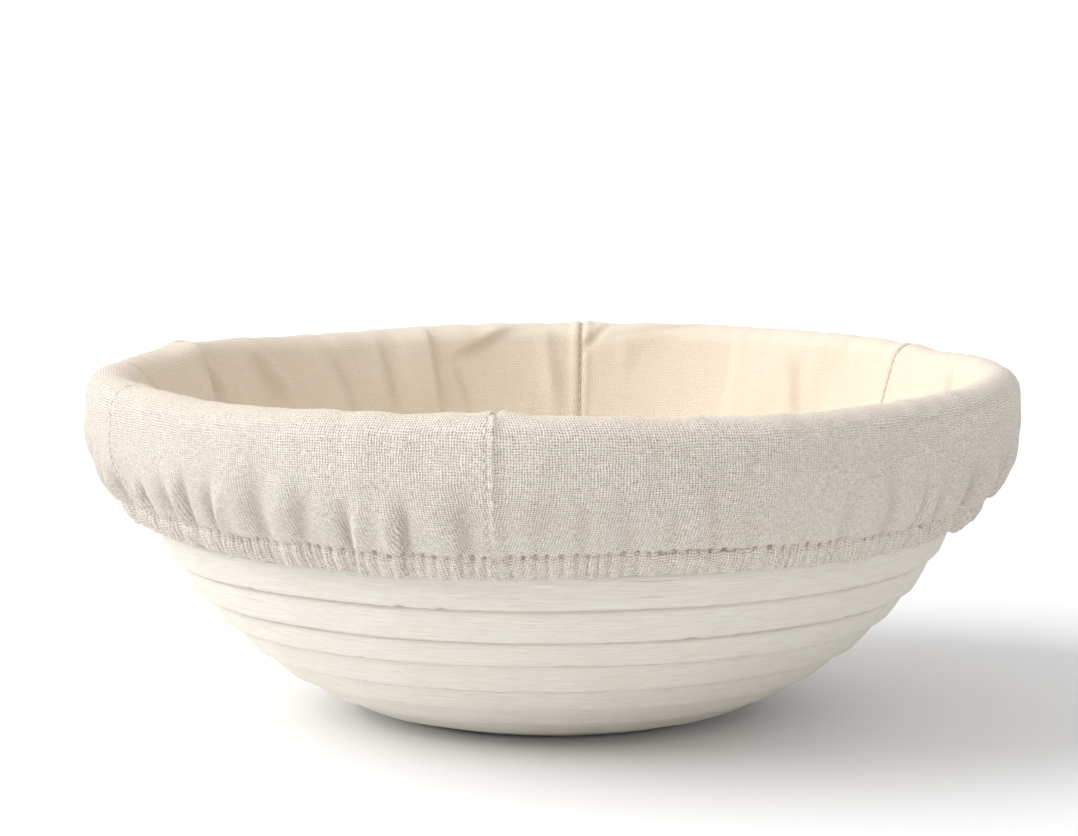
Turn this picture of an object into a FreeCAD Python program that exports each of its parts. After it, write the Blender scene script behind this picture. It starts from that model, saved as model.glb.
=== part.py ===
"""Round banneton (bread proofing basket) with its removable cloth liner.

The basket is half-round rattan cane wound in one climbing spiral, flat side out. Five lengths of
cane are butted end to end, and thin bamboo pins hold each turn to the turn before it. The cane's
width is shaved down at the start, in the middle of the base, and over the last turn, which levels
the rim. The liner is six cloth gores that line the bowl, fold over the rim and end in a hem casing
with an elastic band in it.

Frame: millimetres, +Z up. The origin is the centre of the underside, on the surface that the
basket stands on. The front of the basket faces -Y.
"""

import FreeCAD, Part
import math
import os

import Sketcher

os.makedirs("parts", exist_ok=True)

SIZES = {
    # the bowl's outer wall line: flat base, knee, bowl, straight wall
    "base_flat": 37.5,
    "knee_radius": 30.0,
    "knee_angle": 18.0,
    "bowl_radius": 94.7,
    "wall_angle": 73.0,
    "basket_height": 85.3,
    # the cane and its pins
    "cane_thickness": 5.6,
    "cane_gap": 0.2,
    "face_tilt": 8.0,
    "cane_tip": 1.5,
    "pin_radius": 0.9,
    "pin_length": 12.0,
    "pin_depth": 2.7,
    # the liner: its visible face is lining_inset inside the wall line
    "cloth": 0.8,
    "lining_inset": 8.2,
    "fold_radius": 6.3,
    "fold_top": 88.0,
    "skirt_drop": 5.0,
    "skirt_radius": 38.0,
    "skirt_angle": 42.0,
    "casing_angle": 62.0,
    "casing_depth": 4.6,
    "hem_radius": 1.5,
    "elastic_width": 4.0,
    "elastic_thickness": 0.8,
    "thread_radius": 0.2,
    "thread_setback": 1.15,
    "thread_start": 2.0,
}

# The width of each turn of cane along the wall line, from the middle of the base to the rim.
TURN_WIDTHS = [
    4.9, 10.3, 10.5, 10.4, 10.6, 10.3, 10.5, 10.7,
    11.5, 8.9, 10.6, 10.4, 10.3, 10.5, 10.4, 10.4,
]
EYE_RADIUS = 3.5
FIRST_TURN = -1.0

# Each length of cane: its name, and the turn that it runs from and to. Whole turns are at the front.
CANES = [
    ("base_cane", -1.0, 1.5),
    ("foot_cane", 1.5, 5.2),
    ("lower_wall_cane", 5.2, 8.6),
    ("upper_wall_cane", 8.6, 11.6),
    ("rim_cane", 11.6, 14.45),
]
STATIONS_PER_TURN = 24
ROUND_SIDE_POLES = 11
SQUARENESS = 0.75
THIN_CANE_RATIO = 0.9
FLAT_TOLERANCE = 1e-6
FRONT_AZIMUTH = -90.0

# Half a pin more than a whole number staggers the pins of one turn against those of the next.
PINS_PER_TURN = 6.5
FIRST_PIN_TURN = 0.7

# The spiral climbs slowly across the front and makes up for it at the back. 0 is a steady climb.
CLIMB_EASE = 0.8

# The azimuth of each seam between two gores, in degrees from +X.
SEAMS = [-153.0, -96.7, -34.0, 29.4, 85.4, 154.6]

doc = FreeCAD.newDocument("banneton")
V = FreeCAD.Vector
Z_AXIS = V(0, 0, 1)


def make_sheet():
    """The spreadsheet that holds the driving dimensions."""
    sheet = doc.addObject("Spreadsheet::Sheet", "sizes")
    rows = dict(SIZES)
    rows.update({f"seam_{i + 1}": angle for i, angle in enumerate(SEAMS)})
    rows["seam_7"] = SEAMS[0] + 360.0
    for row, (alias, value) in enumerate(rows.items(), start=1):
        sheet.set(f"A{row}", alias)
        sheet.set(f"B{row}", str(value))
        sheet.setAlias(f"B{row}", alias)
    doc.recompute()
    return sheet


sizes = make_sheet()


def size(alias):
    """A driving dimension, read from the spreadsheet."""
    return float(sizes.get(alias))


# ---------------------------------------------------------------- the wall line


def wall_point(run):
    """Radius, height and heading (radians above level) of the outer wall line, run mm out from the axis."""
    flat = size("base_flat")
    knee, knee_end = size("knee_radius"), math.radians(size("knee_angle"))
    bowl, wall = size("bowl_radius"), math.radians(size("wall_angle"))
    if run <= flat:
        return run, 0.0, 0.0
    run -= flat
    if run <= knee * knee_end:
        turn = run / knee
        return flat + knee * math.sin(turn), knee * (1 - math.cos(turn)), turn
    run -= knee * knee_end
    radius = flat + knee * math.sin(knee_end)
    height = knee * (1 - math.cos(knee_end))
    turn = min(knee_end + run / bowl, wall)
    radius += bowl * (math.sin(turn) - math.sin(knee_end))
    height += bowl * (math.cos(knee_end) - math.cos(turn))
    run -= bowl * (turn - knee_end)
    return radius + run * math.cos(turn), height + run * math.sin(turn), turn


def wall_length():
    """Length of the wall line from the axis to the basket's top edge."""
    wall_start = size("base_flat") + size("knee_radius") * math.radians(size("knee_angle"))
    wall_start += size("bowl_radius") * math.radians(size("wall_angle") - size("knee_angle"))
    left = size("basket_height") - wall_point(wall_start)[1]
    return wall_start + left / math.sin(math.radians(size("wall_angle")))


TOP_RUN = wall_length()


def groove(turn):
    """Distance along the wall line of the groove under a turn, which is a real number of turns."""
    eased = turn - CLIMB_EASE * math.sin(2 * math.pi * turn) / (2 * math.pi)
    place = max(eased - FIRST_TURN, 0.0)
    whole = min(int(place), len(TURN_WIDTHS) - 1)
    run = EYE_RADIUS + sum(TURN_WIDTHS[:whole]) + (place - whole) * TURN_WIDTHS[whole]
    return min(run, TOP_RUN)


# ---------------------------------------------------------------- the canes


def cane_section(turn):
    """The cane's section at a turn: points across its round side, from its lower to its upper edge."""
    low = groove(turn) + size("cane_gap") / 2
    high = max(groove(turn + 1) - size("cane_gap") / 2, low + size("cane_tip"))
    radius, height, _ = wall_point(low)
    far_radius, far_height, _ = wall_point(high)
    width = math.hypot(far_radius - radius, far_height - height)
    ramp = ((low + high) / 2 - size("base_flat")) / size("knee_radius")
    tilt = min(max(ramp, 0.0), 1.0) * math.radians(size("face_tilt"))
    heading = math.atan2(far_height - height, far_radius - radius) + tilt
    thickness = min(size("cane_thickness"), width * THIN_CANE_RATIO)
    azimuth = math.radians(FRONT_AZIMUTH + 360.0 * turn)
    points = []
    for k in range(ROUND_SIDE_POLES):
        swing = math.pi * k / (ROUND_SIDE_POLES - 1)
        across = width * (1 - math.copysign(abs(math.cos(swing)) ** SQUARENESS, math.cos(swing))) / 2
        depth = thickness * abs(math.sin(swing)) ** SQUARENESS
        if k in (0, ROUND_SIDE_POLES - 1):
            depth = 0.0
        r = radius + math.cos(heading) * across - math.sin(heading) * depth
        z = height + math.sin(heading) * across + math.cos(heading) * depth
        points.append(V(r * math.cos(azimuth), r * math.sin(azimuth), z))
    return points


def clamped_knots(poles, degree):
    """Multiplicities and knots of a clamped uniform B-spline."""
    spans = poles - degree
    return [degree + 1] + [1] * (spans - 1) + [degree + 1], [i / spans for i in range(spans + 1)]


def cane_solid(start, end):
    """A length of half-round cane from one turn to another, as a closed solid."""
    count = int(round((end - start) * STATIONS_PER_TURN)) + 1
    turns = [start + (end - start) * i / (count - 1) for i in range(count)]
    sections = [cane_section(turn) for turn in turns]
    columns = []
    for j in range(ROUND_SIDE_POLES):
        curve = Part.BSplineCurve()
        curve.interpolate(Points=[section[j] for section in sections], Parameters=turns)
        columns.append(curve)
    mults, knots = columns[0].getMultiplicities(), columns[0].getKnots()
    poles = [list(row) for row in zip(*[curve.getPoles() for curve in columns])]
    across_mults, across_knots = clamped_knots(ROUND_SIDE_POLES, 3)
    round_side = Part.BSplineSurface()
    round_side.buildFromPolesMultsKnots(
        poles, mults, across_mults, knots, across_knots, False, False, 3, 3
    )
    flat_edges = [columns[0].toShape(), columns[-1].toShape()]
    ends = [Part.makeLine(section[0], section[-1]) for section in (sections[0], sections[-1])]
    if max(abs(edge.BoundBox.ZMax) for edge in flat_edges) < FLAT_TOLERANCE:
        flat_face = Part.Face(Part.Wire(Part.__sortEdges__(flat_edges + ends)))
    else:
        flat_side = Part.BSplineSurface()
        edges = [[row[0], row[-1]] for row in poles]
        flat_side.buildFromPolesMultsKnots(edges, mults, [2, 2], knots, [0, 1], False, False, 3, 1)
        flat_face = flat_side.toShape()
    caps = []
    for end_line, at in zip(ends, (turns[0], turns[-1])):
        rim = round_side.uIso(at).toShape()
        caps.append(Part.Face(Part.Wire(Part.__sortEdges__([rim, end_line]))))
    shell = Part.Shell([round_side.toShape(), flat_face] + caps)
    shell.sewShape()
    solid = Part.Solid(shell)
    if solid.Volume < 0:
        solid.reverse()
    return solid


def make_canes():
    """One object for each length of cane. A spiral that climbs a bowl fits no swept or turned feature."""
    made = []
    for name, start, end in CANES:
        cane = doc.addObject("Part::Feature", name)
        cane.Label = name
        cane.Shape = cane_solid(start, end)
        cane.Placement = FreeCAD.Placement()
        made.append(cane)
    return made


# ---------------------------------------------------------------- the pins


def make_pins():
    """Bamboo pins across each groove, grouped by the length of cane that they are driven through."""
    made = []
    pin_number = 1
    for name, start, end in CANES:
        pins = []
        first_turn = max(start, FIRST_PIN_TURN)
        for step in range(math.ceil(first_turn * PINS_PER_TURN), int(end * PINS_PER_TURN)):
            turn = (step + 0.5) / PINS_PER_TURN
            seat = groove(turn)
            if seat > TOP_RUN - size("pin_length"):
                continue
            radius, height, heading = wall_point(seat)
            azimuth = math.radians(FRONT_AZIMUTH + 360.0 * turn)
            outward = V(math.cos(azimuth), math.sin(azimuth), 0)
            along = outward * math.cos(heading) + Z_AXIS * math.sin(heading)
            inward = Z_AXIS * math.cos(heading) - outward * math.sin(heading)
            centre = outward * radius + Z_AXIS * height + inward * size("pin_depth")
            pin = doc.addObject("Part::Cylinder", f"pin_{pin_number}")
            pin.setExpression("Radius", "sizes.pin_radius")
            pin.setExpression("Height", "sizes.pin_length")
            foot = centre - along * (size("pin_length") / 2)
            pin.Placement = FreeCAD.Placement(foot, FreeCAD.Rotation(Z_AXIS, along))
            pins.append(pin)
            pin_number += 1
        group_name = name.replace("cane", "pins")
        group = doc.addObject("Part::Compound", group_name)
        group.Label = group_name
        group.Links = pins
        made.append(group)
    return made


# ---------------------------------------------------------------- the liner's line sketches

START, END, CENTRE = 1, 2, 3


def arc(centre, radius, start_angle, end_angle):
    """An arc for a sketch, anticlockwise from start_angle to end_angle in degrees."""
    circle = Part.Circle(V(centre[0], centre[1], 0), Z_AXIS, radius)
    return Part.ArcOfCircle(circle, math.radians(start_angle), math.radians(end_angle))


def line(start, end):
    """A straight line for a sketch."""
    return Part.LineSegment(V(start[0], start[1], 0), V(end[0], end[1], 0))


def step_from(point, angle, distance):
    """The point that is a distance away, at an angle in degrees above level."""
    turn = math.radians(angle)
    return point[0] + distance * math.cos(turn), point[1] + distance * math.sin(turn)


def new_line_sketch(name):
    """An empty sketch on the XZ plane: its X is the radius, and its Y is the height."""
    sketch = doc.addObject("Sketcher::SketchObject", name)
    sketch.Placement = FreeCAD.Placement(V(0, 0, 0), FreeCAD.Rotation(V(1, 0, 0), 90))
    return sketch


def rule(sketch, *constraint, expression=None, name=None):
    """Adds a constraint to a sketch, tied to the spreadsheet where an expression is given."""
    index = sketch.addConstraint(Sketcher.Constraint(*constraint))
    if name:
        sketch.renameConstraint(index, name)
    if expression:
        sketch.setExpression(f"Constraints[{index}]", expression)
    return index


def lining_line(name, setback, setback_cell, start, start_cell):
    """The lining from the middle of the base to the top of the rim, setback behind its visible face."""
    inset = size("lining_inset") - setback
    inset_cell = f"(sizes.lining_inset - {setback_cell})"
    flat, knee_end, wall = size("base_flat"), size("knee_angle"), size("wall_angle")
    knee, bowl = size("knee_radius") - inset, size("bowl_radius") - inset
    fold = size("fold_radius") - setback
    fold_height = size("fold_top") - size("fold_radius")
    knee_centre = (flat, size("knee_radius"))
    bowl_centre = step_from(knee_centre, knee_end + 90, size("bowl_radius") - size("knee_radius"))
    wall_foot = step_from(bowl_centre, wall - 90, bowl)
    wall_length = (fold_height + fold * math.cos(math.radians(wall)) - wall_foot[1])
    wall_end = step_from(wall_foot, wall, wall_length / math.sin(math.radians(wall)))
    fold_centre = step_from(wall_end, wall - 90, fold)
    sketch = new_line_sketch(name)
    base_line = sketch.addGeometry(line((start, inset), (flat, inset)))
    knee_arc = sketch.addGeometry(arc(knee_centre, knee, -90, knee_end - 90))
    bowl_arc = sketch.addGeometry(arc(bowl_centre, bowl, knee_end - 90, wall - 90))
    wall_line = sketch.addGeometry(line(wall_foot, wall_end))
    fold_arc = sketch.addGeometry(arc(fold_centre, fold, 90, 90 + wall))
    rule(sketch, "Horizontal", base_line)
    if start:
        rule(sketch, "DistanceX", base_line, START, start, expression=start_cell)
    else:
        rule(sketch, "PointOnObject", base_line, START, -2)
    rule(sketch, "DistanceY", base_line, START, inset, expression=inset_cell)
    rule(sketch, "DistanceX", base_line, END, flat, expression="sizes.base_flat")
    rule(sketch, "Tangent", base_line, END, knee_arc, START)
    rule(sketch, "Radius", knee_arc, knee, expression=f"sizes.knee_radius - {inset_cell}")
    rule(sketch, "Angle", knee_arc, math.radians(knee_end), expression="sizes.knee_angle * 1 deg")
    rule(sketch, "Tangent", knee_arc, END, bowl_arc, START)
    rule(sketch, "Radius", bowl_arc, bowl, expression=f"sizes.bowl_radius - {inset_cell}")
    bowl_cell = "(sizes.wall_angle - sizes.knee_angle) * 1 deg"
    rule(sketch, "Angle", bowl_arc, math.radians(wall - knee_end), expression=bowl_cell)
    rule(sketch, "Tangent", bowl_arc, END, wall_line, START)
    rule(sketch, "Tangent", wall_line, END, fold_arc, END)
    rule(sketch, "Radius", fold_arc, fold, expression=f"sizes.fold_radius - {setback_cell}")
    rule(sketch, "Angle", fold_arc, math.radians(wall), expression="sizes.wall_angle * 1 deg")
    height_cell = "sizes.fold_top - sizes.fold_radius"
    rule(sketch, "DistanceY", fold_arc, CENTRE, fold_height, expression=height_cell)
    axis_rule = rule(sketch, "DistanceX", fold_arc, CENTRE, fold_centre[0], name="fold_axis")
    sketch.setDriving(axis_rule, False)
    doc.recompute()
    return sketch


def skirt_points(fold_axis):
    """The skirt's main points: the fold's centre, the skirt arc's centre, the stitch line and the hem's edge."""
    fold_centre = (fold_axis, size("fold_top") - size("fold_radius"))
    side = (fold_axis + size("fold_radius"), fold_centre[1] - size("skirt_drop"))
    skirt_centre = (side[0] - size("skirt_radius"), side[1])
    stitch = step_from(skirt_centre, -size("skirt_angle"), size("skirt_radius"))
    hem_edge = step_from(stitch, size("casing_angle") - 180, size("casing_depth"))
    return fold_centre, skirt_centre, stitch, hem_edge


def skirt_line(name, setback, setback_cell, fold_axis):
    """The skirt from the top of the rim down to the stitch line, setback behind its visible face."""
    fold_centre, skirt_centre, _, _ = skirt_points(fold_axis)
    fold, skirt = size("fold_radius") - setback, size("skirt_radius") - setback
    side_x = fold_centre[0] + fold
    sketch = new_line_sketch(name)
    fold_arc = sketch.addGeometry(arc(fold_centre, fold, 0, 90))
    drop_line = sketch.addGeometry(line((side_x, fold_centre[1]), (side_x, skirt_centre[1])))
    skirt_arc = sketch.addGeometry(arc(skirt_centre, skirt, -size("skirt_angle"), 0))
    axis_cell = "lining_face_line.Constraints.fold_axis"
    rule(sketch, "DistanceX", fold_arc, CENTRE, fold_axis, expression=axis_cell)
    height_cell = "sizes.fold_top - sizes.fold_radius"
    rule(sketch, "DistanceY", fold_arc, CENTRE, fold_centre[1], expression=height_cell)
    rule(sketch, "Vertical", fold_arc, END, fold_arc, CENTRE)
    rule(sketch, "Radius", fold_arc, fold, expression=f"sizes.fold_radius - {setback_cell}")
    rule(sketch, "Tangent", fold_arc, START, drop_line, START)
    rule(sketch, "Vertical", drop_line)
    rule(sketch, "Distance", drop_line, size("skirt_drop"), expression="sizes.skirt_drop")
    rule(sketch, "Tangent", drop_line, END, skirt_arc, END)
    rule(sketch, "Radius", skirt_arc, skirt, expression=f"sizes.skirt_radius - {setback_cell}")
    swing = math.radians(size("skirt_angle"))
    rule(sketch, "Angle", skirt_arc, swing, expression="sizes.skirt_angle * 1 deg")
    return sketch, skirt_arc


def add_casing(sketch, skirt_arc, fold_axis):
    """Carries a skirt line on down the casing, round the hem and back up inside it."""
    _, _, stitch, hem_edge = skirt_points(fold_axis)
    casing, hem, depth = size("casing_angle"), size("hem_radius"), size("casing_depth")
    hem_centre = step_from(hem_edge, casing + 90, hem)
    inner_edge = step_from(hem_centre, casing + 90, hem)
    outer_line = sketch.addGeometry(line(stitch, hem_edge))
    hem_arc = sketch.addGeometry(arc(hem_centre, hem, casing + 90, casing + 270))
    inner_line = sketch.addGeometry(line(inner_edge, step_from(inner_edge, casing, depth)))
    rule(sketch, "Coincident", skirt_arc, START, outer_line, START)
    slope_cell = "(sizes.casing_angle - 180) * 1 deg"
    rule(sketch, "Angle", outer_line, math.radians(casing - 180), expression=slope_cell)
    rule(sketch, "Distance", outer_line, depth, expression="sizes.casing_depth")
    rule(sketch, "Tangent", outer_line, END, hem_arc, END)
    rule(sketch, "Radius", hem_arc, hem, expression="sizes.hem_radius")
    rule(sketch, "Angle", hem_arc, math.pi)
    rule(sketch, "Tangent", hem_arc, START, inner_line, START)
    rule(sketch, "Distance", inner_line, depth, expression="sizes.casing_depth")


# ---------------------------------------------------------------- the liner's pieces


def ribbon(name, source, thickness_cell, side):
    """A line sketch thickened to one side: +1 is to the left of its direction and -1 to the right."""
    band = doc.addObject("Part::Offset2D", name)
    band.Source = source
    band.Mode = 0
    band.Join = 0
    band.Fill = True
    band.setExpression("Value", f"{side} * {thickness_cell}")
    return band


def turned(name, source, angle_cell, start_angle):
    """A section turned about the basket's axis from start_angle, as one sub-part."""
    piece = doc.addObject("Part::Revolution", name)
    piece.Label = name
    piece.Source = source
    piece.Axis = Z_AXIS
    piece.Solid = True
    piece.setExpression("Angle", angle_cell)
    piece.Placement = FreeCAD.Placement(V(0, 0, 0), FreeCAD.Rotation(Z_AXIS, start_angle))
    return piece


def seam_thread(name, spine, start_point, azimuth):
    """A sewing thread that runs along a line sketch, turned to its seam's azimuth."""
    ring = doc.addObject("Part::Circle", f"{name}_section")
    ring.setExpression("Radius", "sizes.thread_radius")
    ring.Placement = FreeCAD.Placement(start_point, FreeCAD.Rotation(Z_AXIS, V(1, 0, 0)))
    thread = doc.addObject("Part::Sweep", name)
    thread.Label = name
    thread.Sections = [ring]
    thread.Spine = (spine, [f"Edge{i + 1}" for i in range(len(spine.Geometry))])
    thread.Solid = True
    thread.Placement = FreeCAD.Placement(V(0, 0, 0), FreeCAD.Rotation(Z_AXIS, azimuth))
    return thread


def make_elastic(fold_axis):
    """The flat elastic, one loop that lies midway between the casing's two layers."""
    hem_edge = skirt_points(fold_axis)[3]
    casing, width = size("casing_angle"), size("elastic_width")
    middle = size("hem_radius") + size("elastic_thickness") / 2
    foot = step_from(hem_edge, casing + 90, middle)
    far_foot = step_from(foot, casing - 90, size("elastic_thickness"))
    corners = [foot, step_from(foot, casing, width), step_from(far_foot, casing, width), far_foot]
    sketch = new_line_sketch("elastic_section")
    sides = [sketch.addGeometry(line(corners[k], corners[(k + 1) % 4])) for k in range(4)]
    for k in range(4):
        rule(sketch, "Coincident", sides[k], END, sides[(k + 1) % 4], START)
    for k in range(3):
        rule(sketch, "Perpendicular", sides[k], sides[k + 1])
    rule(sketch, "DistanceX", sides[0], START, foot[0])
    rule(sketch, "DistanceY", sides[0], START, foot[1])
    rule(sketch, "Angle", sides[0], math.radians(casing), expression="sizes.casing_angle * 1 deg")
    rule(sketch, "Distance", sides[0], width, expression="sizes.elastic_width")
    thickness = size("elastic_thickness")
    rule(sketch, "Distance", sides[1], thickness, expression="sizes.elastic_thickness")
    return turned("elastic_band", sketch, "360", 0.0)


def make_hem_thread(fold_axis):
    """The line of stitches that closes the casing, as a ring between its two layers."""
    stitch = skirt_points(fold_axis)[2]
    centre = step_from(stitch, size("casing_angle") + 90, size("hem_radius"))
    ring = doc.addObject("Part::Torus", "hem_thread")
    ring.Label = "hem_thread"
    ring.Radius1 = centre[0]
    ring.setExpression("Radius2", "sizes.thread_radius")
    ring.Placement = FreeCAD.Placement(V(0, 0, centre[1]), FreeCAD.Rotation())
    return ring


def make_liner():
    """The gores, each a lining panel and a skirt panel, and the liner's threads and elastic."""
    setback = size("thread_setback")
    start = size("thread_start")
    cells = ("sizes.thread_setback", start, "sizes.thread_start")
    face_line = lining_line("lining_face_line", 0.0, "0", 0.0, "0")
    fold_axis = face_line.getDatum("fold_axis").Value
    skirt_face_line, skirt_arc = skirt_line("skirt_face_line", 0.0, "0", fold_axis)
    add_casing(skirt_face_line, skirt_arc, fold_axis)
    lining_thread_line = lining_line("lining_thread_line", setback, *cells)
    skirt_thread_line, _ = skirt_line("skirt_thread_line", setback, cells[0], fold_axis)
    doc.recompute()
    lining_section = ribbon("lining_section", face_line, "sizes.cloth", -1)
    skirt_section = ribbon("skirt_section", skirt_face_line, "sizes.cloth", 1)
    thread_foot = V(start, 0, size("lining_inset") - setback)
    rim_top = V(fold_axis, 0, size("fold_top") - setback)
    made = []
    for i in range(1, len(SEAMS) + 1):
        azimuth = size(f"seam_{i}")
        angle_cell = f"sizes.seam_{i + 1} - sizes.seam_{i}"
        made.append(turned(f"lining_panel_{i}", lining_section, angle_cell, azimuth))
        made.append(turned(f"skirt_panel_{i}", skirt_section, angle_cell, azimuth))
        made.append(seam_thread(f"lining_thread_{i}", lining_thread_line, thread_foot, azimuth))
        made.append(seam_thread(f"skirt_thread_{i}", skirt_thread_line, rim_top, azimuth))
    made.append(make_elastic(fold_axis))
    made.append(make_hem_thread(fold_axis))
    return made


def check_and_export(nodes):
    """Stops on any failed object or bad solid, then writes one STEP file for each sub-part."""
    failed = [o.Name for o in doc.Objects if {"Invalid", "Error"} & set(o.State)]
    if failed:
        raise RuntimeError(f"these objects failed: {failed}")
    for node in nodes:
        if node.Shape.isNull() or not node.Shape.isValid() or not node.Shape.Solids:
            raise RuntimeError(f"{node.Label} is not a valid solid")
        node.Shape.exportStep(f"parts/{node.Label}.step")
        print(node.Label, len(node.Shape.Solids), "solid(s),", round(node.Shape.Volume), "mm3")


canes = make_canes()
pins = make_pins()
liner = make_liner()
doc.recompute()
check_and_export(canes + pins + liner)
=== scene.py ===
import math

import bpy
import numpy as np
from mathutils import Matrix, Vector


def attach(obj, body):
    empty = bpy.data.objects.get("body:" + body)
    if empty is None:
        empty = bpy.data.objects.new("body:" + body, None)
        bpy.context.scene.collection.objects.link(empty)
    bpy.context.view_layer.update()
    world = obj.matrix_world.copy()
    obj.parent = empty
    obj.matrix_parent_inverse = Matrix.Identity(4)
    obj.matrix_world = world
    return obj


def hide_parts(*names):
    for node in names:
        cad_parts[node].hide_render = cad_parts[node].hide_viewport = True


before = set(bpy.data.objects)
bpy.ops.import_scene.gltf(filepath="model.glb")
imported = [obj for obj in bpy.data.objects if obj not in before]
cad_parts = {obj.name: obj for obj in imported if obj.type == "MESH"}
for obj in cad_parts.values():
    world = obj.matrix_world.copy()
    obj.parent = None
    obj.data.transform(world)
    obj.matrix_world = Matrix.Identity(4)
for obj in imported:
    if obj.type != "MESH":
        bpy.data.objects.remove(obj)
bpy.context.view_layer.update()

# ---------------------------------------------------------------- dimensions, in metres and degrees

WALL_LINE = {"flat": 0.0375, "knee": 0.030, "knee_angle": 18.0, "bowl": 0.0947, "wall_angle": 73.0}
BASKET_HEIGHT = 0.0853
CANE_THICKNESS = 0.0056
# How wide each turn of the cane is, in millimetres, from the middle of the base outwards.
TURN_WIDTHS = [
    4.9, 10.3, 10.5, 10.4, 10.6, 10.3, 10.5, 10.7,
    11.5, 8.9, 10.6, 10.4, 10.3, 10.5, 10.4, 10.4,
]
EYE_RADIUS = 0.0035
FIRST_TURN = -1.0
CLIMB_EASE = 0.8
FACE_TILT = math.radians(8.0)
# Each length of cane, and the turn that it runs from and to. Whole turns are at the front.
CANES = [
    ("base_cane", -1.0, 1.5),
    ("foot_cane", 1.5, 5.2),
    ("lower_wall_cane", 5.2, 8.6),
    ("upper_wall_cane", 8.6, 11.6),
    ("rim_cane", 11.6, 14.45),
]

CLOTH = 0.0008
LINING_INSET = 0.0082
FOLD_RADIUS = 0.0063
FOLD_TOP = 0.0880
SKIRT_DROP = 0.0050
SKIRT_RADIUS = 0.0380
SKIRT_ANGLE = 42.0
CASING_ANGLE = 62.0
# The casing is deeper and its fold tighter than in CAD, and the hem is pulled in against the canes.
CASING_DEPTH = 0.0056
HEM_RADIUS = 0.0011
HEM_HUG = 0.0012
SEAMS = [-153.0, -96.7, -34.0, 29.4, 85.4, 154.6]
FRONT = -90.0


# ---------------------------------------------------------------- shared maths


class Path:
    """A line in the radius and height plane, made of straight runs and arcs that follow each other."""

    def __init__(self, radius, height, heading=0.0):
        self.point, self.heading, self.length = (radius, height), math.radians(heading), 0.0
        self.parts = []

    def run(self, length, curvature=0.0):
        """Adds a stretch. A positive curvature bends it upwards, to the left of its heading."""
        self.parts.append((self.length, self.point, self.heading, curvature))
        radius, height, heading = self._along(self.parts[-1], length)
        self.point, self.heading, self.length = (radius, height), heading, self.length + length
        return self

    def arc(self, radius, degrees):
        """Adds an arc: positive degrees bend it upwards."""
        turn = math.radians(degrees)
        return self.run(abs(turn) * radius, math.copysign(1 / radius, turn))

    def kink(self, heading):
        """Turns to a heading in degrees without moving."""
        self.heading = math.radians(heading)
        return self

    @staticmethod
    def _along(part, distance):
        _, (radius, height), heading, curvature = part
        if curvature == 0.0:
            return (
                radius + distance * math.cos(heading),
                height + distance * math.sin(heading),
                heading + 0.0 * distance,
            )
        end = heading + curvature * distance
        return (
            radius + (np.sin(end) - math.sin(heading)) / curvature,
            height - (np.cos(end) - math.cos(heading)) / curvature,
            end,
        )

    def at(self, distance):
        """Radius, height and heading at each distance along the path."""
        distance = np.asarray(distance, float)
        out = [np.zeros_like(distance) for _ in range(3)]
        starts = [part[0] for part in self.parts]
        which = np.clip(np.searchsorted(starts, distance, side="right") - 1, 0, len(starts) - 1)
        for number, part in enumerate(self.parts):
            mask = which == number
            values = self._along(part, distance[mask] - part[0])
            for array, value in zip(out, values):
                array[mask] = value
        return out


def wave_noise(angle, along, counts, drift, seed, terms=24):
    """Smooth noise of about unit size that closes round the basket. counts is its lowest and highest
    number of waves round, and drift is how fast, in radians a metre, those waves shift along the cloth."""
    draw = np.random.default_rng(seed)
    total = np.zeros(np.broadcast(angle, along).shape)
    for _ in range(terms):
        waves = draw.integers(counts[0], counts[1] + 1)
        lean = draw.uniform(-drift, drift)
        size = draw.uniform(0.5, 1.0)
        total += size * np.cos(waves * angle + lean * along + draw.uniform(0, 2 * math.pi))
    return total / math.sqrt(terms * 0.29)


def smooth(value, low, high):
    """0 below low, 1 above high and a smooth rise between them."""
    share = np.clip((value - low) / (high - low), 0.0, 1.0)
    return share * share * (3 - 2 * share)


def bell(value, middle, width):
    """A bump of height 1 at middle."""
    return np.exp(-(((value - middle) / width) ** 2))


def angle_gap(angle, other):
    """The signed angle from other to angle, in radians, between -pi and pi."""
    return (angle - other + math.pi) % (2 * math.pi) - math.pi


def new_mesh_object(name, vertices, faces, uv=None, shade=None):
    """A smooth mesh object with sharp outer edges. uv and shade hold values for each vertex."""
    mesh = bpy.data.meshes.new(name)
    mesh.vertices.add(len(vertices))
    mesh.vertices.foreach_set("co", np.asarray(vertices, np.float32).ravel())
    faces = np.asarray(faces, np.int32)
    mesh.loops.add(faces.size)
    mesh.loops.foreach_set("vertex_index", faces.ravel())
    mesh.polygons.add(len(faces))
    mesh.polygons.foreach_set("loop_start", np.arange(0, faces.size, faces.shape[1], dtype=np.int32))
    mesh.update(calc_edges=True)
    mesh.validate()
    mesh.polygons.foreach_set("use_smooth", np.ones(len(mesh.polygons), bool))
    edge = np.zeros(len(mesh.loops), np.int32)
    mesh.loops.foreach_get("edge_index", edge)
    sharp = mesh.attributes.new("sharp_edge", "BOOLEAN", "EDGE")
    sharp.data.foreach_set("value", np.bincount(edge, minlength=len(mesh.edges)) == 1)
    if uv is not None:
        layer = mesh.uv_layers.new(name="cloth")
        corner = np.zeros(len(mesh.loops), np.int32)
        mesh.loops.foreach_get("vertex_index", corner)
        layer.data.foreach_set("uv", np.asarray(uv, np.float32)[corner].ravel())
    if shade is not None:
        dark = mesh.attributes.new("shade", "FLOAT", "POINT")
        dark.data.foreach_set("value", np.asarray(shade, np.float32))
    piece = bpy.data.objects.new(name, mesh)
    bpy.context.scene.collection.objects.link(piece)
    return piece


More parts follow.
